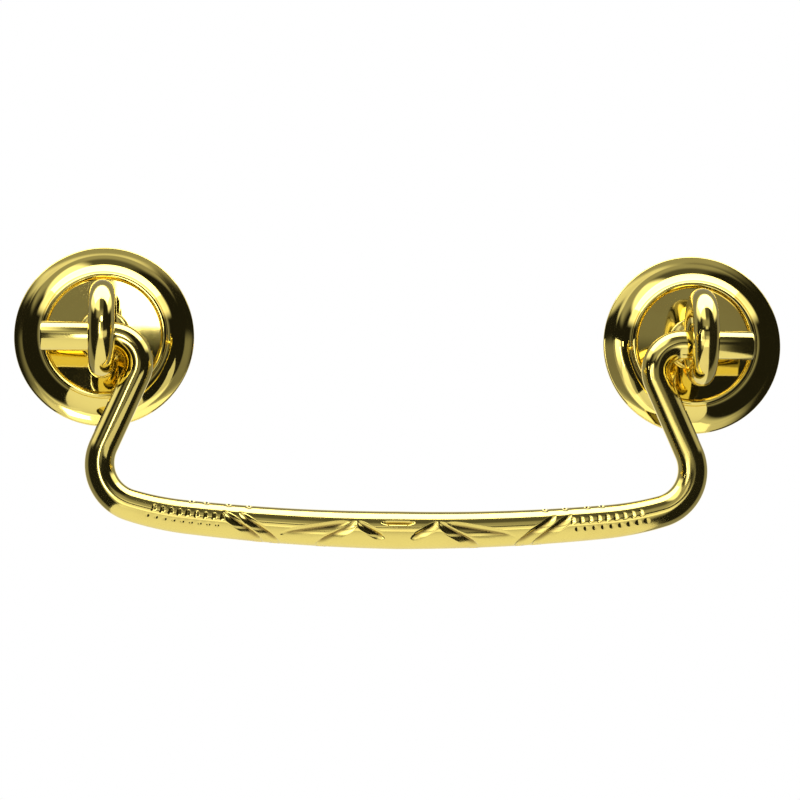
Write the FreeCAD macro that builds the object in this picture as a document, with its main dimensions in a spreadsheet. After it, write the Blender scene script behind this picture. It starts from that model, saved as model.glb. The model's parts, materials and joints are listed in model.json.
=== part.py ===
import FreeCAD, Part
import math
import os

import Sketcher
from FreeCAD import Placement, Rotation, Vector

# A bail pull: a swinging brass bail hung in two eyebolts, each through a dished rosette.
# The origin lies midway between the eyebolts on the face of the drawer front.
# X runs from eye to eye, the front looks along -Y and Z points up. Lengths are in millimetres.

SIZES = [
    ("eye_spacing", 88.9, "between the two holes in the drawer front"),
    ("drawer_front", 19.05, "thickness of the drawer front that the shanks pass"),
    ("eye_standoff", 11.0, "from the drawer front to the middle of an eye ring"),
    ("rosette_radius", 13.5, "outer radius of a rosette"),
    ("sheet", 1.0, "thickness of the rosette's sheet"),
    ("lip_width", 1.05, "flat lip round the rosette's edge"),
    ("lip_rise", 0.09, "how much the lip rises from its edge to the cove"),
    ("cove_radius", 3.77, "hollow that rises from the lip to the rim"),
    ("cove_width", 2.95, "from the lip in to the rim"),
    ("cove_rise", 1.745, "from the lip up to the rim"),
    ("bead_lift", 0.1, "short wall from the cove up to the bead"),
    ("bead_radius", 0.5, "rounded rim bead between cove and dish"),
    ("dish_step", 0.8, "short wall from the bead down to the dish"),
    ("dish_radius", 180.0, "slight curvature of the dish"),
    ("seat_radius", 3.6, "flat floor of the dish, where the collar seats"),
    ("seat_lift", 0.97, "how far the dish's floor stands off the drawer front"),
    ("ring_radius", 5.35, "eye ring, middle of its section"),
    ("ring_section", 1.95, "radius of the eye ring's section"),
    ("neck_radius", 1.75, "neck behind the eye ring"),
    ("neck_flare", 2.7, "radius of the neck where it meets the collar"),
    ("flare_length", 1.2, "length of the neck's flare"),
    ("collar_radius", 4.0, "collar that seats on the rosette"),
    ("collar_length", 0.8, "thickness of the collar"),
    ("collar_round", 0.4, "rounded front edge of the collar"),
    ("spigot_radius", 2.5, "spigot that centres the rosette"),
    ("spigot_short", 0.05, "how far the spigot ends before the drawer front"),
    ("spigot_clearance", 0.1, "gap round the spigot in the rosette"),
    ("shank_radius", 2.08, "plain shank through the drawer front"),
    ("shank_plain", 14.0, "length of the plain shank behind the rosette"),
    ("thread_core", 1.66, "core radius of the threaded end"),
    ("thread_past", 3.6, "thread left past the nut"),
    ("thread_chamfer", 0.4, "chamfer at the end of the thread"),
    ("washer_radius", 5.0, "outer radius of a washer"),
    ("washer_length", 1.0, "thickness of a washer"),
    ("washer_clearance", 0.25, "gap between a washer and the full thread"),
    ("nut_flats", 8.73, "nut across its flats"),
    ("nut_length", 3.2, "height of a nut"),
    ("nut_chamfer", 0.55, "height of the nut's corner chamfer"),
    ("nut_clearance", 0.06, "gap between a nut's bore and the thread core"),
    ("pin_radius", 2.15, "radius of the bail's pins, knees and legs"),
    ("pin_reach", 8.4, "from the eye's middle out to the pin's end"),
    ("pin_chamfer", 0.3, "chamfer on the pin's end"),
    ("pin_gap", 0.1, "running gap under a pin in its eye"),
    ("bail_shift", -0.7, "how far the bail has slid sideways in its eyes"),
    ("knee_inset", 2.15, "from the eye's middle in to where the knee starts"),
    ("knee_radius", 4.0, "bend of the knee beside the eye"),
    ("leg_inset", 0.65, "from the eye's middle in to the bail's widest place"),
    ("corner_radius", 6.4, "bend from the leg into the grip"),
    ("shoulder_run", 12.8, "from the bail's widest place in to the grip's long bow"),
    ("shoulder_radius", 45.0, "bend between the corner and the long bow"),
    ("bow_radius", 300.0, "long bow of the grip"),
    ("bail_drop", 28.1, "from the pins' axis down to the middle of the grip"),
    ("shoulder_thick", 2.5, "radius of the grip where the long bow starts"),
    ("grip_thick", 2.8, "radius of the grip in its middle"),
    ("chase_depth", 0.3, "depth of the chased cuts"),
    ("stroke_width", 1.0, "width of a chased stroke"),
]

doc = FreeCAD.newDocument("bail_pull")
sheet = doc.addObject("Spreadsheet::Sheet", "sizes")
for row, (alias, value, note) in enumerate(SIZES, start=1):
    sheet.set(f"A{row}", note)
    sheet.set(f"B{row}", str(value))
    sheet.setAlias(f"B{row}", alias)
doc.recompute()


def size(alias):
    """The number that the sheet holds for one size."""
    return float(sheet.get(alias))


# Sketches

SKETCH_ORIGIN = -1
SKETCH_UPRIGHT = -2
START, END, CENTRE = 1, 2, 3
NORMAL = Vector(0, 0, 1)


def origin_plane(body, role):
    """One of the body's own reference planes."""
    return next(f for f in body.Origin.OriginFeatures if f.Role == role)


def new_sketch(body, name, role):
    """An empty sketch on one of the body's own planes."""
    sketch = body.newObject("Sketcher::SketchObject", name)
    sketch.AttachmentSupport = (origin_plane(body, role), [""])
    sketch.MapMode = "FlatFace"
    return sketch


def rule_value(sketch, rule):
    """What a rule on the sizes comes to now."""
    return float(sketch.evalExpression(rule))


def tie(sketch, kind, places, rule):
    """Adds a measured constraint and binds it to a rule on the sizes."""
    number = sketch.addConstraint(Sketcher.Constraint(kind, *places, rule_value(sketch, rule)))
    sketch.setExpression(f"Constraints[{number}]", rule)


def tie_point(sketch, curve, end, x_rule, y_rule):
    """Binds both coordinates of a curve's point."""
    tie(sketch, "DistanceX", (SKETCH_ORIGIN, START, curve, end), x_rule)
    tie(sketch, "DistanceY", (SKETCH_ORIGIN, START, curve, end), y_rule)


def arc_between(first, last, radius, centre_left):
    """The shorter arc from first to last, with its centre to the left or right of the way there."""
    chord = last - first
    across = Vector(-chord.y, chord.x, 0).normalize()
    rise = math.sqrt(radius**2 - (chord.Length / 2) ** 2)
    centre = (first + last) / 2 + across * (rise if centre_left else -rise)
    begin, finish = (first, last) if centre_left else (last, first)
    angles = [math.atan2(p.y - centre.y, p.x - centre.x) for p in (begin, finish)]
    if angles[1] < angles[0]:
        angles[1] += 2 * math.pi
    return Part.ArcOfCircle(Part.Circle(centre, NORMAL, radius), *angles)


def draw_outline(sketch, corners):
    """A closed outline. A corner is (x rule, y rule), with (radius rule, centre side) where an arc follows."""
    points = [Vector(rule_value(sketch, c[0]), rule_value(sketch, c[1]), 0) for c in corners]
    sides = []
    for index, corner in enumerate(corners):
        first, last = points[index], points[(index + 1) % len(points)]
        if len(corner) == 2:
            curve = sketch.addGeometry(Part.LineSegment(first, last))
            sides.append((curve, START, END))
            continue
        radius_rule, centre_side = corner[2:]
        left = centre_side == "left"
        radius = rule_value(sketch, radius_rule)
        curve = sketch.addGeometry(arc_between(first, last, radius, left))
        sides.append((curve, START, END) if left else (curve, END, START))
    for index, (curve, begin, finish) in enumerate(sides):
        following = sides[(index + 1) % len(sides)]
        sketch.addConstraint(Sketcher.Constraint("Coincident", curve, finish, following[0], following[1]))
        tie_point(sketch, curve, begin, *corners[index][:2])
        if len(corners[index]) > 2:
            tie(sketch, "Radius", (curve,), corners[index][2])


def turned_body(name, corners):
    """A body of revolution about its own Z, from the corners of its half section."""
    body = doc.addObject("PartDesign::Body", name)
    body.Label = name
    sketch = new_sketch(body, f"{name}_section", "XZ_Plane")
    draw_outline(sketch, corners)
    turned = body.newObject("PartDesign::Revolution", f"{name}_turned")
    turned.Profile = sketch
    turned.ReferenceAxis = (sketch, ["V_Axis"])
    turned.Angle = 360
    doc.recompute()
    return body


# Every fitting is made with its own Z as the axis of its hole and is turned to look along -Y.

FACE_FRONT = Rotation(Vector(1, 0, 0), 90)
SIDES = (("left", -1), ("right", 1))


def place_fitting(body, side):
    """Moves a fitting to its hole in the drawer front."""
    body.Placement = Placement(Vector(0, 0, 0), FACE_FRONT)
    body.setExpression("Placement.Base.x", f"{side} * sizes.eye_spacing / 2")


# Rosettes, spun from sheet

SEAT_LEVEL = "sizes.sheet + sizes.seat_lift"
LIP_LEVEL = "sizes.sheet + sizes.lip_rise"
COVE_LEVEL = f"{LIP_LEVEL} + sizes.cove_rise"
RIM_LEVEL = f"{COVE_LEVEL} + sizes.bead_lift"
LIP_INNER = "sizes.rosette_radius - sizes.lip_width"
COVE_INNER = f"{LIP_INNER} - sizes.cove_width"
BEAD_MIDDLE = f"{COVE_INNER} - sizes.bead_radius"
DISH_EDGE = f"{BEAD_MIDDLE} - sizes.bead_radius"
ROSETTE_HOLE = "sizes.spigot_radius + sizes.spigot_clearance"
ROSETTE_SECTION = [
    (ROSETTE_HOLE, "sizes.seat_lift"),
    ("sizes.seat_radius", "sizes.seat_lift", "sizes.dish_radius + sizes.sheet", "left"),
    (BEAD_MIDDLE, f"{RIM_LEVEL} - sizes.dish_step - sizes.sheet", "sizes.cove_radius + sizes.sheet", "left"),
    (LIP_INNER, "0"),
    ("sizes.rosette_radius", "0"),
    ("sizes.rosette_radius", "sizes.sheet"),
    (LIP_INNER, LIP_LEVEL, "sizes.cove_radius", "right"),
    (COVE_INNER, COVE_LEVEL),
    (COVE_INNER, RIM_LEVEL, "sizes.bead_radius", "left"),
    (BEAD_MIDDLE, f"{RIM_LEVEL} + sizes.bead_radius", "sizes.bead_radius", "left"),
    (DISH_EDGE, RIM_LEVEL),
    (DISH_EDGE, f"{RIM_LEVEL} - sizes.dish_step", "sizes.dish_radius", "right"),
    ("sizes.seat_radius", SEAT_LEVEL),
    (ROSETTE_HOLE, SEAT_LEVEL),
]


def make_rosette(name, side):
    body = turned_body(name, ROSETTE_SECTION)
    place_fitting(body, side)
    return body


# Eyebolts: ring, neck, collar, spigot, shank and thread in one piece

COLLAR_FRONT = f"{SEAT_LEVEL} + sizes.collar_length"
THREAD_END = "-(sizes.drawer_front + sizes.washer_length + sizes.nut_length + sizes.thread_past)"
EYEBOLT_SECTION = [
    ("0", THREAD_END),
    ("sizes.thread_core - sizes.thread_chamfer", THREAD_END),
    ("sizes.thread_core", f"{THREAD_END} + sizes.thread_chamfer"),
    ("sizes.thread_core", "-sizes.shank_plain"),
    ("sizes.shank_radius", "-sizes.shank_plain"),
    ("sizes.shank_radius", "sizes.spigot_short"),
    ("sizes.spigot_radius", "sizes.spigot_short"),
    ("sizes.spigot_radius", SEAT_LEVEL),
    ("sizes.collar_radius", SEAT_LEVEL),
    ("sizes.collar_radius", f"{COLLAR_FRONT} - sizes.collar_round", "sizes.collar_round", "left"),
    ("sizes.collar_radius - sizes.collar_round", COLLAR_FRONT),
    ("sizes.neck_flare", COLLAR_FRONT),
    ("sizes.neck_radius", f"{COLLAR_FRONT} + sizes.flare_length"),
    ("sizes.neck_radius", "sizes.eye_standoff - sizes.ring_radius"),
    ("0", "sizes.eye_standoff - sizes.ring_radius"),
]


def make_eyebolt(name, side):
    body = turned_body(name, EYEBOLT_SECTION)
    ring = body.newObject("PartDesign::AdditiveTorus", f"{name}_ring")
    ring.AttachmentSupport = (origin_plane(body, "YZ_Plane"), [""])
    ring.MapMode = "FlatFace"
    ring.setExpression("Radius1", "sizes.ring_radius")
    ring.setExpression("Radius2", "sizes.ring_section")
    ring.setExpression("AttachmentOffset.Base.y", "sizes.eye_standoff")
    doc.recompute()
    place_fitting(body, side)
    return body


# Washers and nuts behind the drawer front

WASHER_BORE = "sizes.shank_radius + sizes.washer_clearance"
WASHER_BACK = "-(sizes.drawer_front + sizes.washer_length)"
WASHER_SECTION = [
    (WASHER_BORE, WASHER_BACK),
    ("sizes.washer_radius", WASHER_BACK),
    ("sizes.washer_radius", "-sizes.drawer_front"),
    (WASHER_BORE, "-sizes.drawer_front"),
]


def make_washer(name, side):
    body = turned_body(name, WASHER_SECTION)
    place_fitting(body, side)
    return body


NUT_BACK = f"{WASHER_BACK} - sizes.nut_length"
NUT_CORNER = "sizes.nut_flats / sqrt(3)"
NUT_FACE = "sizes.nut_flats / 2"
NUT_BORE = "sizes.thread_core + sizes.nut_clearance"
NUT_BLANK = [
    (NUT_BORE, NUT_BACK),
    (NUT_FACE, NUT_BACK),
    (NUT_CORNER, f"{NUT_BACK} + sizes.nut_chamfer"),
    (NUT_CORNER, f"{WASHER_BACK} - sizes.nut_chamfer"),
    (NUT_FACE, WASHER_BACK),
    (NUT_BORE, WASHER_BACK),
]


def make_nut(name, side):
    """A turned blank with chamfered corners, cut to six flats."""
    body = turned_body(name, NUT_BLANK)
    flats = new_sketch(body, f"{name}_flats", "XY_Plane")
    corner = rule_value(flats, NUT_CORNER)
    turns = [math.radians(60 * k) for k in range(6)]
    points = [Vector(corner * math.cos(turn), corner * math.sin(turn), 0) for turn in turns]
    hexagon = [flats.addGeometry(Part.LineSegment(points[k - 1], points[k])) for k in range(6)]
    for k, line in enumerate(hexagon):
        flats.addConstraint(Sketcher.Constraint("Coincident", hexagon[k - 1], END, line, START))
        tie_point(flats, line, END, f"{NUT_CORNER} * cos({60 * k})", f"{NUT_CORNER} * sin({60 * k})")
    outside = flats.addGeometry(Part.Circle(Vector(0, 0, 0), NORMAL, 2 * corner))
    flats.addConstraint(Sketcher.Constraint("Coincident", outside, CENTRE, SKETCH_ORIGIN, START))
    tie(flats, "Radius", (outside,), f"2 * {NUT_CORNER}")
    cut = body.newObject("PartDesign::Pocket", f"{name}_hex")
    cut.Profile = flats
    cut.Type = "ThroughAll"
    cut.Midplane = True
    doc.recompute()
    place_fitting(body, side)
    return body


parts = []
for side_name, side in SIDES:
    parts.append(make_rosette(f"{side_name}_rosette", side))
    parts.append(make_eyebolt(f"{side_name}_eyebolt", side))
    parts.append(make_washer(f"{side_name}_washer", side))
    parts.append(make_nut(f"{side_name}_nut", side))

# Bail: one bent rod with straight pins, knees, legs and a thicker chased grip

WIDEST = "sizes.eye_spacing / 2 - sizes.leg_inset"
KNEE_START = "sizes.eye_spacing / 2 - sizes.knee_inset"
PIN_END = "sizes.eye_spacing / 2 + sizes.pin_reach"
BOW_END = f"{WIDEST} - sizes.shoulder_run"


def half_centreline():
    """The right half of the bail's centreline, from the middle of the grip to the pin, as tangent pieces."""
    widest = size("eye_spacing") / 2 - size("leg_inset")
    bow_end = widest - size("shoulder_run")
    bow_turn = math.asin(bow_end / size("bow_radius"))
    bow_centre = Vector(0, size("bow_radius") - size("bail_drop"), 0)
    downward = Vector(math.sin(bow_turn), -math.cos(bow_turn), 0)
    shoulder_centre = bow_centre + downward * (size("bow_radius") - size("shoulder_radius"))
    corner_x = widest - size("corner_radius")
    between = size("shoulder_radius") - size("corner_radius")
    corner_y = shoulder_centre.y - math.sqrt(between**2 - (corner_x - shoulder_centre.x) ** 2)
    corner_centre = Vector(corner_x, corner_y, 0)
    knee_centre = Vector(size("eye_spacing") / 2 - size("knee_inset"), -size("knee_radius"), 0)
    span = knee_centre - corner_centre
    crossing = math.acos((size("corner_radius") + size("knee_radius")) / span.Length)
    leg_normal = math.atan2(span.y, span.x) - crossing
    towards_leg = Vector(math.cos(leg_normal), math.sin(leg_normal), 0)
    bow_last = bow_centre + downward * size("bow_radius")
    shoulder_last = corner_centre + (corner_centre - shoulder_centre).normalize() * size("corner_radius")
    leg_first = corner_centre + towards_leg * size("corner_radius")
    leg_last = knee_centre - towards_leg * size("knee_radius")
    pin_first = Vector(knee_centre.x, 0, 0)
    pin_last = Vector(size("eye_spacing") / 2 + size("pin_reach"), 0, 0)
    grip_middle = Vector(0, -size("bail_drop"), 0)
    return [grip_middle, bow_last, shoulder_last, leg_first, leg_last, pin_first, pin_last]


def draw_centreline(sketch):
    """Bow, shoulder, corner, leg, knee and pin, each tangent to the next."""
    points = half_centreline()
    curves = [
        arc_between(points[0], points[1], size("bow_radius"), True),
        arc_between(points[1], points[2], size("shoulder_radius"), True),
        arc_between(points[2], points[3], size("corner_radius"), True),
        Part.LineSegment(points[3], points[4]),
        arc_between(points[4], points[5], size("knee_radius"), False),
        Part.LineSegment(points[5], points[6]),
    ]
    bow, shoulder, corner, leg, knee, pin = [sketch.addGeometry(curve) for curve in curves]
    ends = [(bow, START, END), (shoulder, START, END), (corner, START, END)]
    ends += [(leg, START, END), (knee, END, START), (pin, START, END)]
    for before, after in zip(ends, ends[1:]):
        sketch.addConstraint(Sketcher.Constraint("Tangent", before[0], before[2], after[0], after[1]))
    sketch.addConstraint(Sketcher.Constraint("PointOnObject", bow, START, SKETCH_UPRIGHT))
    sketch.addConstraint(Sketcher.Constraint("PointOnObject", bow, CENTRE, SKETCH_UPRIGHT))
    sketch.addConstraint(Sketcher.Constraint("PointOnObject", pin, START, SKETCH_ORIGIN))
    sketch.addConstraint(Sketcher.Constraint("Horizontal", pin))
    tie(sketch, "DistanceY", (SKETCH_ORIGIN, START, bow, START), "-sizes.bail_drop")
    tie(sketch, "DistanceX", (SKETCH_ORIGIN, START, bow, END), BOW_END)
    tie(sketch, "DistanceX", (SKETCH_ORIGIN, START, corner, CENTRE), f"{WIDEST} - sizes.corner_radius")
    tie(sketch, "DistanceX", (SKETCH_ORIGIN, START, pin, START), KNEE_START)
    tie(sketch, "DistanceX", (SKETCH_ORIGIN, START, pin, END), PIN_END)
    for curve, alias in ((bow, "bow"), (shoulder, "shoulder"), (corner, "corner"), (knee, "knee")):
        tie(sketch, "Radius", (curve,), f"sizes.{alias}_radius")


def rod_section(body, name, path, edge, along, radius_rule):
    """A round section square to one edge of the path."""
    sketch = body.newObject("Sketcher::SketchObject", name)
    sketch.AttachmentSupport = (path, [edge])
    sketch.MapMode = "NormalToEdge"
    sketch.MapPathParameter = along
    circle = sketch.addGeometry(Part.Circle(Vector(0, 0, 0), NORMAL, rule_value(sketch, radius_rule)))
    sketch.addConstraint(Sketcher.Constraint("Coincident", circle, CENTRE, SKETCH_ORIGIN, START))
    tie(sketch, "Radius", (circle,), radius_rule)
    return sketch


def rod(body, name, path, edges, sections):
    """Sweeps the first section along the path's edges, through the other sections."""
    pipe = body.newObject("PartDesign::AdditivePipe", name)
    pipe.Profile = sections[0]
    pipe.Spine = (path, edges)
    if len(sections) > 1:
        pipe.Transformation = "Multisection"
        pipe.Sections = sections[1:]
    doc.recompute()
    return pipe


def mirror_halves(body, name, features):
    """Repeats the right half's features on the left."""
    both = body.newObject("PartDesign::Mirrored", name)
    both.Originals = features
    both.MirrorPlane = (origin_plane(body, "YZ_Plane"), [""])
    body.Tip = both
    doc.recompute()
    return both


# A chased stroke runs from outer end to inner end, each end as shares of the bow's half length and of the
# grip's radius, with its share of the full stroke width.
STROKES = {
    "outer_slant": ((0.82, 0.42), (0.635, -0.78), 1.0),
    "inner_slant": ((0.745, 0.45), (0.56, -0.78), 1.0),
    "leaf": ((0.53, -0.43), (0.235, 0.32), 1.1),
    "rising_cut": ((0.375, -0.78), (0.2, 0.36), 0.95),
    "falling_cut": ((0.18, 0.28), (0.07, -0.45), 0.8),
}
CENTRE_DASH = ((0.08, 0.36), (-0.08, 0.36), 0.6)


def stroke_end(side, along, up):
    """Where a stroke ends on the grip's front: along the bow and above its centreline."""
    x_rule = f"({side * along} * ({BOW_END}))"
    bow_rise = f"sizes.bow_radius - sqrt(sizes.bow_radius ^ 2 - {x_rule} ^ 2)"
    return x_rule, f"({bow_rise} - sizes.bail_drop + {up} * sizes.grip_thick)"


def draw_stroke(sketch, first, last, width_share):
    """A pointed leaf between two ends, bounded by two equal arcs."""
    width = f"({width_share} * sizes.stroke_width)"
    length_squared = f"(({last[0]} - {first[0]}) ^ 2 + ({last[1]} - {first[1]}) ^ 2)"
    radius = f"{length_squared} / (4 * {width}) + {width} / 4"
    draw_outline(sketch, [(*first, radius, "left"), (*last, radius, "left")])


def chase_grip(body, path):
    """Cuts the strokes out of the grip's front half, then fills them up to the depth of the cuts."""
    pattern = new_sketch(body, "chased_pattern", "XZ_Plane")
    for side in (-1, 1):
        for outer, inner, width_share in STROKES.values():
            draw_stroke(pattern, stroke_end(side, *outer), stroke_end(side, *inner), width_share)
    outer, inner, width_share = CENTRE_DASH
    draw_stroke(pattern, stroke_end(1, *outer), stroke_end(1, *inner), width_share)
    cut = body.newObject("PartDesign::Pocket", "chased_cuts")
    cut.Profile = pattern
    cut.Type = "ThroughAll"
    cut.Reversed = True
    doc.recompute()
    floor_rules = (
        ("floor_middle", "Edge1", 0, "sizes.grip_thick - sizes.chase_depth"),
        ("floor_end", "Edge1", 1, "sizes.shoulder_thick - sizes.chase_depth"),
    )
    floors = [rod_section(body, name, path, edge, along, rule) for name, edge, along, rule in floor_rules]
    floor = rod(body, "chased_floor", path, ["Edge1"], floors)
    return mirror_halves(body, "chased_floor_both", [floor])


def is_pin_rim(edge):
    """Whether an edge is the round rim of a pin's outer end."""
    reach = size("eye_spacing") / 2 + size("pin_reach")
    box = edge.BoundBox
    return abs(abs(box.XMin) - reach) < 1e-3 and abs(abs(box.XMax) - reach) < 1e-3


def make_bail(name):
    body = doc.addObject("PartDesign::Body", name)
    body.Label = name
    path = new_sketch(body, "bail_centreline", "XZ_Plane")
    draw_centreline(path)
    doc.recompute()
    pin = rod_section(body, "pin_section", path, "Edge6", 1, "sizes.pin_radius")
    leg = rod(body, "pin_knee_and_leg", path, ["Edge4", "Edge5", "Edge6"], [pin])
    middle = rod_section(body, "grip_section", path, "Edge1", 0, "sizes.grip_thick")
    shoulder = rod_section(body, "shoulder_section", path, "Edge2", 0, "sizes.shoulder_thick")
    corner = rod_section(body, "corner_section", path, "Edge3", 1, "sizes.pin_radius")
    grip = rod(body, "grip_and_corner", path, ["Edge1", "Edge2", "Edge3"], [middle, shoulder, corner])
    both = mirror_halves(body, "both_halves", [leg, grip])
    ends = [f"Edge{k}" for k, edge in enumerate(both.Shape.Edges, start=1) if is_pin_rim(edge)]
    chamfer = body.newObject("PartDesign::Chamfer", "pin_chamfers")
    chamfer.Base = (both, ends)
    chamfer.setExpression("Size", "sizes.pin_chamfer")
    doc.recompute()
    chase_grip(body, path)
    body.setExpression("Placement.Base.x", "sizes.bail_shift")
    body.setExpression("Placement.Base.y", "-sizes.eye_standoff")
    hole = "sizes.ring_radius - sizes.ring_section"
    body.setExpression("Placement.Base.z", f"-({hole} - sizes.pin_radius - sizes.pin_gap)")
    return body


parts.append(make_bail("bail_handle"))

# Checks and files

doc.recompute()
for item in doc.Objects:
    if {"Invalid", "Error"} & set(item.State):
        raise RuntimeError(f"{item.Label} did not build: {item.State}")
os.makedirs("parts", exist_ok=True)
for part in parts:
    if part.Shape.isNull() or not part.Shape.isValid():
        raise RuntimeError(f"{part.Label} has no valid shape")
    part.Shape.exportStep(f"parts/{part.Label}.step")
    print(part.Label, round(part.Shape.Volume, 1), "mm3")
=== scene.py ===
# %% [markdown]
# # A polished brass bail pull
#
# A bail pull is the swinging handle of a drawer. A bent brass rod, the bail, hangs by its two pins in a
# pair of eyebolts. Each eyebolt passes through a dished rosette and the drawer front, and a washer and a
# nut hold it from behind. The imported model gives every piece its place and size, and this lesson rebuilds
# the pieces with smooth surfaces, chased ornament, threads and a brass finish.

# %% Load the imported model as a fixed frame
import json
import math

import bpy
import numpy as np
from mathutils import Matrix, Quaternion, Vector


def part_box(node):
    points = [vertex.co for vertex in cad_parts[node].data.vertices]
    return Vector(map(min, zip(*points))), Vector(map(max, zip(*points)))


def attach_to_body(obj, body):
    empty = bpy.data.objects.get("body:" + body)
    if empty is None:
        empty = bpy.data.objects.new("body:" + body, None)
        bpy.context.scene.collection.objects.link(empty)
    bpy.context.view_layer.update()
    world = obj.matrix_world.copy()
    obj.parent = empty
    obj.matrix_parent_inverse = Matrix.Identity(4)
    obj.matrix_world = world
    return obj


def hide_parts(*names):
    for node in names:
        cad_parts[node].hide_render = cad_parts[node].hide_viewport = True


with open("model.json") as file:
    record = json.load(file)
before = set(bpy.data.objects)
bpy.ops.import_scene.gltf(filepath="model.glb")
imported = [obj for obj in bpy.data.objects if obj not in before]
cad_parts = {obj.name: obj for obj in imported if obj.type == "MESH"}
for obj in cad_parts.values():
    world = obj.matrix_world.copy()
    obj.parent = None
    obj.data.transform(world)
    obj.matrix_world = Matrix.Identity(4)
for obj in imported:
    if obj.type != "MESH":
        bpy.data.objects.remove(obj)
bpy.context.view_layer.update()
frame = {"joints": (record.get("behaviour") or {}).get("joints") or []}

# %% [markdown]
# ## Measures from the frame
#
# Every length below is in millimetres, as on a maker's drawing, and is turned into Blender's metres where a
# point is placed. The places of the holes, of the bail and of its hinge are read from the frame, so a piece
# modelled here lands exactly on the solid that it stands for.

MM = 0.001
rosette_low, rosette_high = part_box("right_rosette")
bail_low, bail_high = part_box("bail_handle")
bolt_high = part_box("right_eyebolt")[1]
EYE = (rosette_low.x + rosette_high.x) / 2 / MM
ROSETTE_RADIUS = (rosette_high.x - rosette_low.x) / 2 / MM
THREAD_END = bolt_high.y / MM
PIN_END = (bail_high.x - bail_low.x) / 2 / MM
hinge = Vector(frame["joints"][0]["pos_m"])
bail_origin = Vector(((bail_low.x + bail_high.x) / 2, hinge.y, hinge.z))
print(f"eyes at +-{EYE:.2f} mm, rosette radius {ROSETTE_RADIUS:.2f} mm, pins out to {PIN_END:.2f} mm")

# %% [markdown]
# ## Working by operators
#
# The pieces are modelled as by hand: add a primitive, go into edit mode, extrude, spin and bevel, then
# apply modifiers. Operators act on whatever is selected, and loading the frame leaves its nodes selected,
# so each piece starts by dropping every selection.

# %% Helpers for operators and modifiers
DOUBLED = 0.0005


def work_on(piece):
    """Makes one object the only selected and active one, in object mode."""
    if bpy.context.object and bpy.context.object.mode != "OBJECT":
        bpy.ops.object.mode_set(mode="OBJECT")
    bpy.ops.object.select_all(action="DESELECT")
    if piece:
        piece.select_set(True)
        bpy.context.view_layer.objects.active = piece


def apply_modifier(piece, kind, **settings):
    """Adds a modifier with its settings and applies it to the mesh."""
    work_on(piece)
    modifier = piece.modifiers.new(kind.title(), kind)
    for name, value in settings.items():
        setattr(modifier, name, value)
    bpy.ops.object.modifier_apply(modifier=modifier.name)


def combine(piece, tool, operation):
    """Unites a piece with a tool object, cuts it or keeps what both share, and removes the tool."""
    apply_modifier(piece, "BOOLEAN", operation=operation, object=tool, solver="EXACT")
    bpy.data.objects.remove(tool)


def edit_all(piece):
    """Opens a piece in edit mode with its whole mesh selected."""
    work_on(piece)
    bpy.ops.object.mode_set(mode="EDIT")
    bpy.ops.mesh.select_all(action="SELECT")


def close_up(piece):
    """Merges doubled points and turns every face outwards."""
    edit_all(piece)
    bpy.ops.mesh.remove_doubles(threshold=DOUBLED * MM)
    bpy.ops.mesh.normals_make_consistent(inside=False)
    bpy.ops.object.mode_set(mode="OBJECT")


def open_edges(piece):
    """How many edges of a mesh don't lie between exactly two faces."""
    uses = np.zeros(len(piece.data.edges), int)
    loops = np.zeros(len(piece.data.loops), int)
    piece.data.loops.foreach_get("edge_index", loops)
    np.add.at(uses, loops, 1)
    return int((uses != 2).sum())


def tell(label, piece):
    """Prints how many faces and open edges a piece has."""
    print(label, "has", len(piece.data.polygons), "faces and", open_edges(piece), "open edges")


def triangle_count(piece):
    """How many triangles the faces of a piece come to."""
    return sum(len(face.vertices) - 2 for face in piece.data.polygons)


# %% [markdown]
# ## Turned pieces
#
# Rosettes, eyebolt shanks and washers are round about the hole they sit in, as pieces from a lathe are. A
# turned piece starts as one vertex. Extruding that vertex draws half of its section, with arcs worked out
# from their radius, and the Spin operator turns the section round the axis of the hole.

# %% Helpers for turned pieces
def bend(first, last, radius, centre_left, steps):
    """Points after first up to last, on the shorter arc with its centre left or right of the way there."""
    first, last = Vector(first), Vector(last)
    chord = last - first
    across = Vector((-chord.y, chord.x)).normalized()
    rise = math.sqrt(radius**2 - (chord.length / 2) ** 2)
    centre = (first + last) / 2 + across * (rise if centre_left else -rise)
    begin = math.atan2(first.y - centre.y, first.x - centre.x)
    sweep = 2 * math.asin(chord.length / 2 / radius) * (1 if centre_left else -1)
    turns = [begin + sweep * step / steps for step in range(1, steps + 1)]
    return [(centre.x + radius * math.cos(turn), centre.y + radius * math.sin(turn)) for turn in turns]


def section(corners, closed):
    """Points of a half section.

    A corner is (radius, height), followed by (bend radius, centre side, steps) where an arc leaves it.
    """
    following = corners[1:] + corners[:1] if closed else corners[1:]
    points = [corners[0][:2]]
    for corner, target in zip(corners, following):
        if len(corner) == 2:
            points.append(target[:2])
        else:
            bend_radius, side, steps = corner[2:]
            points += bend(corner[:2], target[:2], bend_radius, side == "left", steps)
    return points


def trace(name, points, origin_x):
    """Draws a section as a chain of edges beside the axis at origin_x, with the front towards -Y."""
    work_on(None)
    bpy.ops.mesh.primitive_plane_add(size=MM)
    piece = bpy.context.object
    piece.name = name
    edit_all(piece)
    bpy.ops.mesh.merge(type="CENTER")
    places = [Vector((origin_x + radius, -height, 0)) * MM for radius, height in points]
    bpy.ops.transform.translate(value=places[0])
    for before, after in zip(places, places[1:]):
        bpy.ops.mesh.extrude_region_move(TRANSFORM_OT_translate={"value": after - before})
    bpy.ops.object.mode_set(mode="OBJECT")
    return piece


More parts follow.
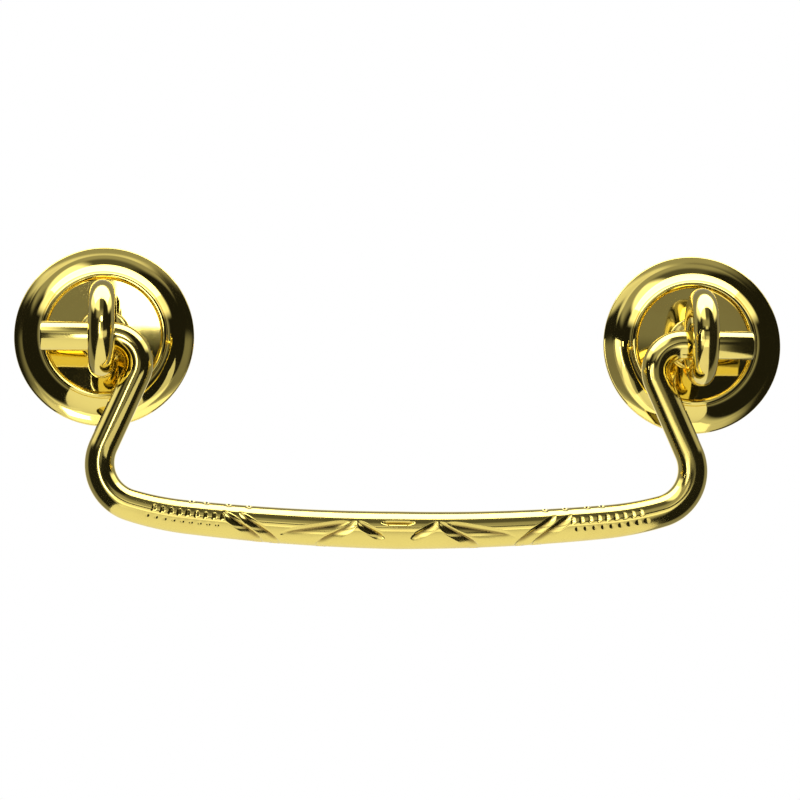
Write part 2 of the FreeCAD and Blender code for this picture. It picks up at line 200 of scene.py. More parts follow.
def turn(name, corners, steps, closed=True):
    """A turned piece on the right eye's axis, from the corners of its half section."""
    piece = trace(name, section(corners, closed), EYE)
    edit_all(piece)
    bpy.ops.mesh.spin(steps=steps, angle=2 * math.pi, center=(EYE * MM, 0, 0), axis=(0, 1, 0))
    bpy.ops.object.mode_set(mode="OBJECT")
    close_up(piece)
    return piece


# %% [markdown]
# ## Rosettes
#
# A rosette is spun from thin sheet over a former: a narrow lip, a cove that rises to a beaded rim, and a
# nearly flat dish with a seat for the eyebolt's collar. The back follows the front, so it is hollow under
# the rim. The outer edge is slightly rounded, because a cut edge is always dressed.

# %% Turn the right rosette
SHEET = 1.0
LIP_WIDTH = 1.05
LIP_RISE = 0.09
COVE_WIDTH = 2.95
COVE_RISE = 1.745
COVE_RADIUS = 3.77
BEAD_LIFT = 0.1
BEAD_RADIUS = 0.5
DISH_STEP = 0.8
DISH_RADIUS = 180.0
SEAT_RADIUS = 3.6
SEAT_LIFT = 0.97
ROSETTE_HOLE = 2.6
EDGE_ROUND = 0.22
BACK_POINTS = 12
EDGE_POINTS = 4
COVE_POINTS = 24
BEAD_POINTS = 8
DISH_POINTS = 24
ROSETTE_SIDES = 160

seat_level = SHEET + SEAT_LIFT
lip_level = SHEET + LIP_RISE
cove_level = lip_level + COVE_RISE
rim_level = cove_level + BEAD_LIFT
lip_inner = ROSETTE_RADIUS - LIP_WIDTH
cove_inner = lip_inner - COVE_WIDTH
bead_middle = cove_inner - BEAD_RADIUS
dish_edge = bead_middle - BEAD_RADIUS
back_level = rim_level - DISH_STEP - SHEET
rosette_corners = [
    (ROSETTE_HOLE, SEAT_LIFT),
    (SEAT_RADIUS, SEAT_LIFT, DISH_RADIUS + SHEET, "left", BACK_POINTS),
    (bead_middle, back_level, COVE_RADIUS + SHEET, "left", BACK_POINTS),
    (lip_inner, 0.0),
    (ROSETTE_RADIUS - EDGE_ROUND, 0.0, EDGE_ROUND, "left", EDGE_POINTS),
    (ROSETTE_RADIUS, EDGE_ROUND),
    (ROSETTE_RADIUS, SHEET - EDGE_ROUND, EDGE_ROUND, "left", EDGE_POINTS),
    (ROSETTE_RADIUS - EDGE_ROUND, SHEET),
    (lip_inner, lip_level, COVE_RADIUS, "right", COVE_POINTS),
    (cove_inner, cove_level),
    (cove_inner, rim_level, BEAD_RADIUS, "left", BEAD_POINTS),
    (bead_middle, rim_level + BEAD_RADIUS, BEAD_RADIUS, "left", BEAD_POINTS),
    (dish_edge, rim_level),
    (dish_edge, rim_level - DISH_STEP, DISH_RADIUS, "right", DISH_POINTS),
    (SEAT_RADIUS, seat_level),
    (ROSETTE_HOLE, seat_level),
]
right_rosette = turn("right_rosette_brass", rosette_corners, ROSETTE_SIDES)
tell("rosette", right_rosette)

# %% [markdown]
# ## Eyebolts
#
# An eyebolt is one casting: a ring that holds the bail's pin, a short neck, a collar that clamps the
# rosette, a spigot that centres it, and a shank that is threaded at its end. The round parts are turned, a
# torus makes the ring, and a union joins them. The thread is cut, as a die cuts it: a V-shaped cutter is
# wound along the shank by the Screw modifier and taken away from it.

# %% Turn the shank and add the ring
EYE_STANDOFF = 11.0
RING_RADIUS = 5.35
RING_SECTION = 1.95
NECK_RADIUS = 1.75
NECK_FLARE = 2.7
FLARE_LENGTH = 1.2
FLARE_BEND = 1.6
COLLAR_RADIUS = 4.0
COLLAR_LENGTH = 0.8
COLLAR_ROUND = 0.4
SPIGOT_RADIUS = 2.5
SPIGOT_SHORT = 0.05
SHANK_RADIUS = 2.08
TIP_CHAMFER = 0.45
NECK_SINK = 0.6
RING_DRESS = 0.015
COLLAR_POINTS = 6
FLARE_POINTS = 8
BOLT_SIDES = 72
RING_SIDES = 112
RING_SECTION_SIDES = 56

collar_front = seat_level + COLLAR_LENGTH
neck_top = EYE_STANDOFF - RING_RADIUS - RING_SECTION + NECK_SINK
bolt_corners = [
    (0.0, -THREAD_END),
    (SHANK_RADIUS - TIP_CHAMFER, -THREAD_END),
    (SHANK_RADIUS, TIP_CHAMFER - THREAD_END),
    (SHANK_RADIUS, SPIGOT_SHORT),
    (SPIGOT_RADIUS, SPIGOT_SHORT),
    (SPIGOT_RADIUS, seat_level),
    (COLLAR_RADIUS, seat_level),
    (COLLAR_RADIUS, collar_front - COLLAR_ROUND, COLLAR_ROUND, "left", COLLAR_POINTS),
    (COLLAR_RADIUS - COLLAR_ROUND, collar_front),
    (NECK_FLARE, collar_front, FLARE_BEND, "right", FLARE_POINTS),
    (NECK_RADIUS, collar_front + FLARE_LENGTH),
    (NECK_RADIUS, neck_top),
    (0.0, neck_top),
]
right_eyebolt = turn("right_eyebolt_brass", bolt_corners, BOLT_SIDES, closed=False)

work_on(None)
bpy.ops.mesh.primitive_torus_add(
    major_segments=RING_SIDES,
    minor_segments=RING_SECTION_SIDES,
    major_radius=RING_RADIUS * MM,
    minor_radius=RING_SECTION * MM,
    location=(EYE * MM, (RING_DRESS - EYE_STANDOFF) * MM, 0),
    rotation=(0, math.pi / 2, 0),
)
eye_ring = bpy.context.object
combine(right_eyebolt, eye_ring, "UNION")
tell("eyebolt", right_eyebolt)

# %% Cut the thread
THREAD_PITCH = 0.794
THREAD_CORE = 1.66
THREAD_START = 14.0
ROOT_FLAT = 0.1
CUT_CLEAR = 0.11
FLANK_SLOPE = math.tan(math.radians(30))
TURN_STEPS = 36

cut_depth = SHANK_RADIUS + CUT_CLEAR - THREAD_CORE
cut_half = ROOT_FLAT / 2 + FLANK_SLOPE * cut_depth
cutter_points = [
    (THREAD_CORE, -THREAD_START - ROOT_FLAT / 2),
    (THREAD_CORE + cut_depth, -THREAD_START - cut_half),
    (THREAD_CORE + cut_depth, -THREAD_START + cut_half),
    (THREAD_CORE, -THREAD_START + ROOT_FLAT / 2),
    (THREAD_CORE, -THREAD_START - ROOT_FLAT / 2),
]
cutter = trace("thread_cutter", cutter_points, 0)
cutter.location.x = EYE * MM
close_up(cutter)
turns_needed = math.ceil((THREAD_END - THREAD_START) / THREAD_PITCH) + 1
apply_modifier(
    cutter,
    "SCREW",
    axis="Y",
    screw_offset=THREAD_PITCH * MM,
    iterations=turns_needed,
    steps=TURN_STEPS,
    render_steps=TURN_STEPS,
)
bpy.ops.object.transform_apply(location=True, rotation=False, scale=False)
edit_all(cutter)
bpy.ops.mesh.fill_holes(sides=0)
bpy.ops.object.mode_set(mode="OBJECT")
close_up(cutter)
tell(f"cutter with {turns_needed} turns", cutter)
combine(right_eyebolt, cutter, "DIFFERENCE")
tell("threaded eyebolt", right_eyebolt)

# %% [markdown]
# ## Washers and nuts
#
# Behind the drawer front sit a plain washer and a hexagon nut. The washer is turned with dressed edges. The
# nut is a six-sided bar that keeps only what it shares with a turned blank, whose cones take off the
# corners at both faces and whose bore has a countersink, as on a real nut.

# %% Turn the washer and cut the nut
DRAWER_FRONT = 19.05
WASHER_RADIUS = 5.0
WASHER_BORE = 2.33
WASHER_LENGTH = 1.0
WASHER_ROUND = 0.15
NUT_FLATS = 8.73
NUT_LENGTH = 3.2
NUT_CHAMFER = 0.55
NUT_PLAY = 0.02
NUT_BORE = SHANK_RADIUS + NUT_PLAY
NUT_SINK = 0.3
FASTENER_SIDES = 72

washer_back = DRAWER_FRONT + WASHER_LENGTH
washer_corners = [
    (WASHER_BORE, -washer_back),
    (WASHER_RADIUS - WASHER_ROUND, -washer_back, WASHER_ROUND, "left", EDGE_POINTS),
    (WASHER_RADIUS, WASHER_ROUND - washer_back),
    (WASHER_RADIUS, -DRAWER_FRONT - WASHER_ROUND, WASHER_ROUND, "left", EDGE_POINTS),
    (WASHER_RADIUS - WASHER_ROUND, -DRAWER_FRONT),
    (WASHER_BORE, -DRAWER_FRONT),
]
right_washer = turn("right_washer_brass", washer_corners, FASTENER_SIDES)

nut_back = washer_back + NUT_LENGTH
nut_corner = NUT_FLATS / math.sqrt(3)
nut_blank = [
    (NUT_BORE + NUT_SINK, -nut_back),
    (NUT_FLATS / 2, -nut_back),
    (nut_corner, NUT_CHAMFER - nut_back),
    (nut_corner, -washer_back - NUT_CHAMFER),
    (NUT_FLATS / 2, -washer_back),
    (NUT_BORE + NUT_SINK, -washer_back),
    (NUT_BORE, -washer_back - NUT_SINK),
    (NUT_BORE, NUT_SINK - nut_back),
]
right_nut = turn("right_nut_brass", nut_blank, FASTENER_SIDES)
work_on(None)
bpy.ops.mesh.primitive_cylinder_add(
    vertices=6,
    radius=nut_corner * MM,
    depth=2 * NUT_LENGTH * MM,
    location=(EYE * MM, (washer_back + NUT_LENGTH / 2) * MM, 0),
    rotation=(math.pi / 2, math.pi / 6, 0),
)
combine(right_nut, bpy.context.object, "INTERSECT")
tell("nut", right_nut)

# %% [markdown]
# ## The bail's rod
#
# The bail is one round rod, bent cold: straight pins, a knee beside each eye, two leaning legs, tight
# corners and a grip that bows gently. The same bends make it here. A circle is drawn at the pin's end,
# extruded where the rod is straight and spun about the centre of each bend, so every stretch is tangent to
# the next. Only the right half is bent, and a Mirror modifier makes the left one. The circle has twice as
# many points on the front as behind, because the ornament is chased into the front.

# %% Work out the bends
PIN_RADIUS = 2.15
KNEE_INSET = 2.15
KNEE_RADIUS = 4.0
LEG_INSET = 0.65
CORNER_RADIUS = 6.4
SHOULDER_RUN = 12.8
SHOULDER_RADIUS = 45.0
BOW_RADIUS = 300.0
BAIL_DROP = 28.1

widest = EYE - LEG_INSET
bow_end = widest - SHOULDER_RUN
bow_turn = math.asin(bow_end / BOW_RADIUS)
bow_centre = Vector((0, BOW_RADIUS - BAIL_DROP))
bow_outwards = Vector((math.sin(bow_turn), -math.cos(bow_turn)))
shoulder_centre = bow_centre + bow_outwards * (BOW_RADIUS - SHOULDER_RADIUS)
corner_x = widest - CORNER_RADIUS
corner_gap = SHOULDER_RADIUS - CORNER_RADIUS
corner_z = shoulder_centre.y - math.sqrt(corner_gap**2 - (corner_x - shoulder_centre.x) ** 2)
corner_centre = Vector((corner_x, corner_z))
shoulder_turn = math.atan2(corner_x - shoulder_centre.x, shoulder_centre.y - corner_z)
knee_centre = Vector((EYE - KNEE_INSET, -KNEE_RADIUS))
span = knee_centre - corner_centre
crossing = math.acos((CORNER_RADIUS + KNEE_RADIUS) / span.length)
corner_turn = math.atan2(span.y, span.x) - crossing + math.pi / 2
outwards = Vector((math.sin(corner_turn), -math.cos(corner_turn)))
leg = (corner_centre + outwards * CORNER_RADIUS) - (knee_centre - outwards * KNEE_RADIUS)
turned = [round(math.degrees(angle), 1) for angle in (shoulder_turn, corner_turn)]
print(f"leg {leg.length:.2f} mm long, shoulder and corner turned to {turned} degrees")

# %% Bend the right half and mirror it
FRONT_POINTS = 80
KNEE_STEPS = 28
CORNER_STEPS = 36
SHOULDER_STEPS = 60
BOW_STEPS = 248
PIN_DRESS = 0.3
PIN_DRESS_STEPS = 3
BACK_SHARE = 0.2
NEAR = 0.01
MIRROR_MERGE = 0.002
CLOCKWISE = (0, -1, 0)
ANTICLOCKWISE = (0, 1, 0)


def in_plane(point):
    """A point of the bail's drawing, x and z in millimetres, as a place in the scene."""
    return bail_origin + Vector((point[0], 0, point[1])) * MM


def spin_end(centre, angle, axis, steps):
    """Bends the rod on from its selected end ring."""
    bpy.ops.mesh.spin(steps=steps, angle=angle, center=in_plane(centre), axis=axis)


def draw_on(step):
    """Lengthens the rod straight on from its selected end ring."""
    bpy.ops.mesh.extrude_region_move(TRANSFORM_OT_translate={"value": Vector((step[0], 0, step[1])) * MM})


def pick_points(piece, test):
    """Selects the points that pass a test, in edit mode."""
    bpy.ops.mesh.select_all(action="DESELECT")
    bpy.ops.object.mode_set(mode="OBJECT")
    for vertex in piece.data.vertices:
        vertex.select = test(vertex)
    bpy.ops.object.mode_set(mode="EDIT")


work_on(None)
bpy.ops.mesh.primitive_circle_add(
    vertices=2 * FRONT_POINTS,
    radius=PIN_RADIUS * MM,
    location=bail_origin,
    rotation=(0, math.pi / 2, 0),
)
bail = bpy.context.object
bail.name = "bail_handle_brass"
bpy.ops.object.transform_apply(location=False, rotation=True, scale=False)
bpy.ops.object.mode_set(mode="EDIT")
bpy.ops.mesh.select_mode(type="VERT")
pick_points(bail, lambda vertex: vertex.co.y > BACK_SHARE * PIN_RADIUS * MM and vertex.index % 2 == 1)
bpy.ops.mesh.dissolve_verts()
bpy.ops.mesh.select_all(action="SELECT")
bpy.ops.transform.translate(value=(PIN_END * MM, 0, 0))
draw_on((knee_centre.x - PIN_END, 0))
spin_end(knee_centre, corner_turn, ANTICLOCKWISE, KNEE_STEPS)
draw_on(leg)
spin_end(corner_centre, corner_turn - shoulder_turn, CLOCKWISE, CORNER_STEPS)
spin_end(shoulder_centre, shoulder_turn - bow_turn, CLOCKWISE, SHOULDER_STEPS)
spin_end(bow_centre, bow_turn, CLOCKWISE, BOW_STEPS)
pick_points(bail, lambda vertex: vertex.co.x > (PIN_END - NEAR) * MM)
bpy.ops.mesh.edge_face_add()
bpy.ops.mesh.bevel(offset=PIN_DRESS * MM, segments=PIN_DRESS_STEPS)
bpy.ops.object.mode_set(mode="OBJECT")
grip_ends = [vertex.co for vertex in bail.data.vertices if abs(vertex.co.x) < NEAR * MM]
grip_middle = sum(grip_ends, Vector()) / len(grip_ends)
print(f"grip's middle at z {grip_middle.z / MM:.3f} mm, wanted {-BAIL_DROP:.3f} mm, {len(grip_ends)} points")
for point in grip_ends:
    point.x = 0
apply_modifier(bail, "MIRROR", use_axis=(True, False, False), merge_threshold=MIRROR_MERGE * MM)
close_up(bail)
tell("bail", bail)

# %% [markdown]
# ## Swelling and chasing the grip
#
# The grip is thicker than the legs, and its front is chased: slanting cuts, leaves and small punch marks.
# Both changes move the surface along its own normal, so both are Displace modifiers, each held by a vertex
# group. To fill the groups, every point of the grip gets two coordinates: how far it lies along the rod
# from the middle, and how high it lies on the front. A cut is a straight stroke in these coordinates that
# runs out at both ends.

# %% Find each point's place on the rod
SHOULDER_THICK = 2.5
GRIP_THICK = 2.8
TINY = 1e-6

places = np.zeros(3 * len(bail.data.vertices))
bail.data.vertices.foreach_get("co", places)
places = places.reshape(-1, 3) / MM
side = np.sign(places[:, 0])
reach = np.abs(places[:, 0])
bow_length = BOW_RADIUS * bow_turn
shoulder_length = SHOULDER_RADIUS * (shoulder_turn - bow_turn)
corner_length = CORNER_RADIUS * (corner_turn - shoulder_turn)
stretches = [
    (bow_centre, BOW_RADIUS, 0.0, bow_turn, 0.0),
    (shoulder_centre, SHOULDER_RADIUS, bow_turn, shoulder_turn, bow_length),
    (corner_centre, CORNER_RADIUS, shoulder_turn, corner_turn, bow_length + shoulder_length),
]
along = np.full(len(places), np.inf)
lift = np.zeros(len(places))
for centre, radius, begin, finish, start in stretches:
    angle = np.arctan2(reach - centre.x, centre.y - places[:, 2])
    distance = np.hypot(reach - centre.x, centre.y - places[:, 2])
    within = (angle >= begin - TINY) & (angle < finish + TINY)
    inside = within & (np.abs(distance - radius) < 2 * PIN_RADIUS) & np.isinf(along)
    along[inside] = start + radius * (angle[inside] - begin)
    lift[inside] = radius - distance[inside]
taper = np.clip((along - bow_length) / (shoulder_length + corner_length), 0, 1)
bow_share = np.clip(along / bow_length, 0, 1)
thickness = np.where(
    along <= bow_length,
    GRIP_THICK + (SHOULDER_THICK - GRIP_THICK) * bow_share,
    SHOULDER_THICK + (PIN_RADIUS - SHOULDER_THICK) * taper,
)
swell = (thickness - PIN_RADIUS) / (GRIP_THICK - PIN_RADIUS)
turned_up = np.arctan2(lift, -places[:, 1])
height = thickness * np.sin(turned_up)
front = np.cos(turned_up) > 0
travel = side * along
print("points on the grip", int(np.isfinite(along).sum()), "of", len(along))

# %% Lay out the chased strokes and punch marks
STROKES = [
    ((0.83, 0.5), (0.63, -0.95), 1.45),
    ((0.755, 0.52), (0.55, -0.95), 1.45),
    ((0.56, -0.5), (0.225, 0.34), 1.9),
    ((0.39, -0.95), (0.195, 0.4), 1.6),
    ((0.19, 0.4), (0.06, -0.5), 1.35),
]
CENTRE_DASH = ((0.085, 0.36), (-0.085, 0.36), 0.7)
STROKE_DEPTH = 0.44
STEEP_SHARE = 0.3
BLUNTNESS = 5.0
PUNCH_FIRST = 25.8
PUNCH_LAST = 37.0
PUNCH_PITCH = 1.28
TICK_LOW = -0.1
TICK_HIGH = 1.0
TICK_WIDTH = 0.65
TICK_DEPTH = 0.5
DOT_HEIGHT = -0.85
DOT_RADIUS = 0.36
DOT_DEPTH = 0.3
NICKS = (22.0, 25.0, 28.3, 30.5)
NICK_HEIGHT = 2.5
NICK_RADIUS = 0.55
NICK_DEPTH = 0.6
OUT_OF_REACH = 1e3


def stroke_cut(first, last, width):
    """How deep a stroke cuts each point, as a share. It is steep above and a broad facet below."""
    first, last = np.array(first), np.array(last)
    run = last - first
    length = np.hypot(*run)
    upwards = np.array((-run[1], run[0])) / length * np.sign(run[0] if abs(run[0]) > TINY else 1)
    offset = np.stack((travel - first[0], height - first[1]), axis=1)
    share = np.clip(offset @ run / length**2, 0, 1)
    swelling = 1 - np.abs(2 * share - 1) ** BLUNTNESS
    above = (offset - share[:, None] * run) @ upwards
    beyond = np.hypot(*(offset - share[:, None] * run - above[:, None] * upwards).T)
    wall = np.where(above > 0, STEEP_SHARE, 1 - STEEP_SHARE) * width
    return np.clip(swelling - np.abs(above) / wall - beyond / wall, 0, 1) * front


def punch_mark(place, level, radius):
    """How deep a round punch marks each point, as a share of its full depth."""
    return np.clip(1 - np.hypot(travel - place, height - level) / radius, 0, 1) * front


finite = np.isfinite(along)
travel[~finite] = OUT_OF_REACH
height[~finite] = OUT_OF_REACH
chased = np.zeros(len(along))
for hand in (-1, 1):
    for (outer, outer_up), (inner, inner_up), width in STROKES:
        outer_end = (hand * outer * bow_end, outer_up * GRIP_THICK)
        inner_end = (hand * inner * bow_end, inner_up * GRIP_THICK)
        chased = np.maximum(chased, stroke_cut(outer_end, inner_end, width))
    for place in np.arange(PUNCH_FIRST, PUNCH_LAST, PUNCH_PITCH):
        tick = stroke_cut((hand * place, TICK_LOW), (hand * place, TICK_HIGH), TICK_WIDTH)
        dot = punch_mark(hand * (place + PUNCH_PITCH / 2), DOT_HEIGHT, DOT_RADIUS)
        chased = np.maximum(chased, np.maximum(tick * TICK_DEPTH, dot * DOT_DEPTH))
    for place in NICKS:
        chased = np.maximum(chased, punch_mark(hand * place, NICK_HEIGHT, NICK_RADIUS) * NICK_DEPTH)
dash_ends = [(end * bow_end, up * GRIP_THICK) for end, up in CENTRE_DASH[:2]]
chased = np.maximum(chased, stroke_cut(*dash_ends, CENTRE_DASH[2]))
print("points cut by the chasing", int((chased > 0).sum()))

# %% Move the surface
def fill_group(piece, name, weights):
    """Adds a vertex group that holds each point by its weight."""
    group = piece.vertex_groups.new(name=name)
    for index in np.flatnonzero(weights > 0):
        group.add([int(index)], float(weights[index]), "REPLACE")


def keep_attribute(piece, name, values):
    """Stores a value on each point, for the finish to read."""
    attribute = piece.data.attributes.new(name, "FLOAT", "POINT")
    attribute.data.foreach_set("value", values.astype(np.float32))


fill_group(bail, "swell", np.clip(swell, 0, 1))
fill_group(bail, "chased", chased)
keep_attribute(bail, "cut", chased)
swell_depth = (GRIP_THICK - PIN_RADIUS) * MM
apply_modifier(bail, "DISPLACE", vertex_group="swell", strength=swell_depth, mid_level=0)
apply_modifier(bail, "DISPLACE", vertex_group="chased", strength=-STROKE_DEPTH * MM, mid_level=0)
bail.vertex_groups.clear()
bpy.ops.object.transform_apply(location=True, rotation=False, scale=False)
print("bail triangles", triangle_count(bail))

# %% [markdown]
# ## Copies for the left side
#
# The left fittings are the same castings, turnings and nuts as the right ones. Each is a copy with a mesh
# of its own, moved across in edit mode so that its object stays at the origin.

# %% Copy the fittings across
def copy_across(piece, name):
    """A copy of a right-hand fitting on the left eye's axis."""
    work_on(piece)
    bpy.ops.object.duplicate(linked=False)
    copy = bpy.context.object
    copy.name = name
    edit_all(copy)
    bpy.ops.transform.translate(value=(-2 * EYE * MM, 0, 0))
    bpy.ops.object.mode_set(mode="OBJECT")
    return copy


left_rosette = copy_across(right_rosette, "left_rosette_brass")
left_eyebolt = copy_across(right_eyebolt, "left_eyebolt_brass")
left_washer = copy_across(right_washer, "left_washer_brass")
left_nut = copy_across(right_nut, "left_nut_brass")
print("copied", left_rosette.name, left_eyebolt.name, left_washer.name, left_nut.name)

# %% [markdown]
# ## Writing shader maths
#
# A finish is a tree of nodes. One small class wraps a socket, so that sums and products of sockets can be
# written as plain expressions, and every other node comes from its node method.

# %% A socket that can be reckoned with
class Wire:
    """A socket in a node tree. Arithmetic on it adds Math nodes."""

    def __init__(self, tree, socket=None):
        self.tree = tree
        self.socket = socket

    def node(self, kind, settings=None, inputs=None, output=0):
        """Adds a node, sets its settings, then gives its sockets values or links."""
        made = self.tree.nodes.new(kind)
        for name, value in (settings or {}).items():
            setattr(made, name, value)
        for name, value in (inputs or {}).items():
            if isinstance(value, Wire):
                self.tree.links.new(value.socket, made.inputs[name])
            else:
                made.inputs[name].default_value = value
        return Wire(self.tree, made.outputs[output] if made.outputs else None)

    def other(self, output):
        """Another output of the same node."""
        return Wire(self.tree, self.socket.node.outputs[output])

    def maths(self, operation, *values):
        """Reckons with values and wires in a Math node."""
        return self.node("ShaderNodeMath", {"operation": operation}, dict(enumerate(values)))

    def smooth(self, low, high):
        """Rises smoothly from 0 at low to 1 at high."""
        limits = {"Value": self, "From Min": low, "From Max": high}
        return self.node("ShaderNodeMapRange", {"interpolation_type": "SMOOTHSTEP"}, limits)

    def noise(self, scale, detail):
        """Cloudy noise, read at this place."""
        return self.node("ShaderNodeTexNoise", None, {"Vector": self, "Scale": scale, "Detail": detail})

    def blend(self, start, end):
        """A colour that goes from start to end as this share goes from 0 to 1."""
        mixed = {"Factor": self, "A": start, "B": end}
        return self.node("ShaderNodeMix", {"data_type": "RGBA"}, mixed, 2)

    def __add__(self, other):
        return self.maths("ADD", self, other)

    def __sub__(self, other):
        return self.maths("SUBTRACT", self, other)

    def __rsub__(self, other):
        return self.maths("SUBTRACT", other, self)

    def __mul__(self, other):
        return self.maths("MULTIPLY", self, other)

    __radd__ = __add__
    __rmul__ = __mul__


def blank_tree(owner):
    """Empties the node tree of a material or a world, and gives a wire to fill it with."""
    owner.use_nodes = True
    owner.node_tree.nodes.clear()
    return Wire(owner.node_tree)


# %% [markdown]
# ## Brass
#
# Polished brass is a metal with a warm yellow reflection. What makes it look real is what is not perfect: a
# surface that waves a little from hand polishing, faint lines left by spinning or drawing, and a few
# patches that are duller. Each is a texture on Object coordinates, so it sits still on the metal. The
# bottoms of the cuts are painted dark, as painted shade for the dark reflections in the recesses. There
# the finish reads how deep each point was cut.

# %% Brass finishes
BRASS = (0.91, 0.74, 0.2, 1)
BRASS_DEEP = (0.78, 0.57, 0.15, 1)
# Painted shade: the dark brown that the bottoms of the chased cuts are blended towards.
BRASS_CUT_SHADE = (0.2, 0.12, 0.03, 1)
DEEP_SHARE = 0.35
WAVE_DETAIL = 2.0
PATCH_SCALE = 160.0
PATCH_DETAIL = 5.0
PATCH_EDGE = (0.45, 0.75)
LINE_DETAIL = 3.0
LINE_DULL = 0.03
ROD_STRETCH = (0.05, 1.0, 1.0)
CUT_EDGE = (0.05, 0.3)
CUT_DULL = 0.05
CUT_SHADE_EDGE = (0.4, 0.9)
CUT_SHADE_SHARE = 0.8


def brass(name, roughness, duller, wave_size, wave_depth, mark_scale, mark_depth, marks, chased=False):
    """A brass finish. marks picks the direction of its fine lines: "rings", "rod" or "cast"."""
    material = bpy.data.materials.new(name)
    wire = blank_tree(material)
    place = wire.node("ShaderNodeTexCoord", output="Object")
    wave = place.noise(1 / (wave_size * MM), WAVE_DETAIL)
    patches = place.noise(PATCH_SCALE, PATCH_DETAIL)
    if marks == "rings":
        spot = wire.node("ShaderNodeSeparateXYZ", None, {"Vector": place}, "X")
        from_axis = spot.maths("ABSOLUTE", spot) - EYE * MM
        radius = spot.maths("SQRT", from_axis * from_axis + spot.other("Z") * spot.other("Z"))
        line_place = wire.node("ShaderNodeCombineXYZ", None, {"X": radius, "Y": spot.other("Y")})
    elif marks == "rod":
        line_place = wire.node("ShaderNodeMapping", None, {"Vector": place, "Scale": ROD_STRETCH})
    else:
        line_place = place
    lines = line_place.noise(mark_scale, LINE_DETAIL)
    dull = patches.smooth(*PATCH_EDGE)
    level = wave * wave_depth + lines * mark_depth
    shine = roughness + duller * dull + LINE_DULL * lines
    colour = (dull * DEEP_SHARE).blend(BRASS, BRASS_DEEP)
    if chased:
        cut = wire.node("ShaderNodeAttribute", {"attribute_name": "cut"}, output="Fac")
        shine = shine + cut.smooth(*CUT_EDGE) * CUT_DULL
        # Painted shade: the deep parts of the cuts are blended towards a dark brown.
        colour = (cut.smooth(*CUT_SHADE_EDGE) * CUT_SHADE_SHARE).blend(colour, BRASS_CUT_SHADE)
    bump = wire.node("ShaderNodeBump", None, {"Strength": 1.0, "Distance": MM, "Height": level})
    surface = wire.node(
        "ShaderNodeBsdfPrincipled",
        None,
        {"Base Color": colour, "Metallic": 1.0, "Roughness": shine, "Normal": bump},
    )
    wire.node("ShaderNodeOutputMaterial", None, {"Surface": surface})
    return material


bail_brass = brass(
    "bail_brass",
    roughness=0.07,
    duller=0.06,
    wave_size=9.0,
    wave_depth=0.02,
    mark_scale=900.0,
    mark_depth=0.001,
    marks="rod",
    chased=True,
)
rosette_brass = brass(
    "rosette_brass",
    roughness=0.03,
    duller=0.03,
    wave_size=10.0,
    wave_depth=0.02,
    mark_scale=1500.0,
    mark_depth=0.0006,
    marks="rings",
)
eyebolt_brass = brass(
    "eyebolt_brass",
    roughness=0.07,
    duller=0.06,
    wave_size=5.0,
    wave_depth=0.015,
    mark_scale=900.0,
    mark_depth=0.0008,
    marks="cast",
)
fastener_brass = brass(
    "fastener_brass",
    roughness=0.2,
    duller=0.12,
    wave_size=4.0,
    wave_depth=0.008,
    mark_scale=2500.0,
    mark_depth=0.003,
    marks="rings",
)
print("finishes", [material.name for material in bpy.data.materials if material.name.endswith("brass")])

# %% [markdown]
# ## Putting the pieces on the frame
#
# Each finished piece is shaded smooth up to a sharp edge, gets its finish, replaces the solid it stands for
# and rides on that solid's body. The bail's body swings, and the fittings stay with the drawer front.

# %% Attach the pieces
SHARP_EDGE = math.radians(38)


def attach(piece, node, body, material):
    """Finishes a piece and hands it over to the frame."""
    work_on(piece)
    bpy.ops.object.shade_smooth_by_angle(angle=SHARP_EDGE)
    piece.data.materials.clear()
    piece.data.materials.append(material)
    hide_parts(node)
    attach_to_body(piece, body)
    return triangle_count(piece)


fittings = [
    ("rosette", (left_rosette, right_rosette), "rosette_brass", rosette_brass),
    ("eyebolt", (left_eyebolt, right_eyebolt), "eyebolt_brass", eyebolt_brass),
    ("washer", (left_washer, right_washer), "fastener_brass", fastener_brass),
    ("nut", (left_nut, right_nut), "fastener_brass", fastener_brass),
]
triangles = {"bail": attach(bail, "bail_handle", "bail", bail_brass)}
for kind, pair, slot, material in fittings:
    for hand, piece in zip(("left", "right"), pair):
        triangles[f"{hand} {kind}"] = attach(piece, f"{hand}_{kind}", "fittings", material)
print("triangles", triangles)

# %% [markdown]
# ## Camera
#
# The camera stands where the photographer stood: a little to the left of the middle and a little below,
# about half a metre away. Its lens and its slight roll were worked out from the places of the rosettes,
# pins and corners.

# %% Set up the camera
CAMERA_AZIMUTH = math.radians(-3.13)
CAMERA_ELEVATION = math.radians(-5.61)
CAMERA_ROLL = math.radians(0.46)
CAMERA_DISTANCE = 513.0
CAMERA_TARGET = Vector((-0.11, -5.5, -9.43))
FOCAL_PIXELS = 3434.0
IMAGE_PIXELS = 800
SENSOR_WIDTH = 36.0
CLIP_START = 10.0

flat = math.cos(CAMERA_ELEVATION)
sideways = math.sin(CAMERA_AZIMUTH) * flat
forwards = -math.cos(CAMERA_AZIMUTH) * flat
back = Vector((sideways, forwards, math.sin(CAMERA_ELEVATION)))
work_on(None)
bpy.ops.object.camera_add(location=(CAMERA_TARGET + back * CAMERA_DISTANCE) * MM)
camera = bpy.context.object
camera.rotation_mode = "QUATERNION"
camera.rotation_quaternion = (-back).to_track_quat("-Z", "Y") @ Quaternion((0, 0, 1), CAMERA_ROLL)
camera.data.sensor_width = SENSOR_WIDTH
camera.data.lens = FOCAL_PIXELS * SENSOR_WIDTH / IMAGE_PIXELS
camera.data.clip_start = CLIP_START * MM
bpy.context.scene.camera = camera
print(f"lens {camera.data.lens:.1f} mm at {CAMERA_DISTANCE:.0f} mm")

# %% [markdown]
# ## Floor and light
#
# A polished piece shows its surroundings, so the studio is built for its reflections. A pale floor lies
# below, and a soft box hangs straight above. Small cards stand close in front of the left fitting and the
# grip, and a larger one lights the right side. The room around them is painted in light and dark bands,
# which give the metal its black lines. The background is white to the camera.

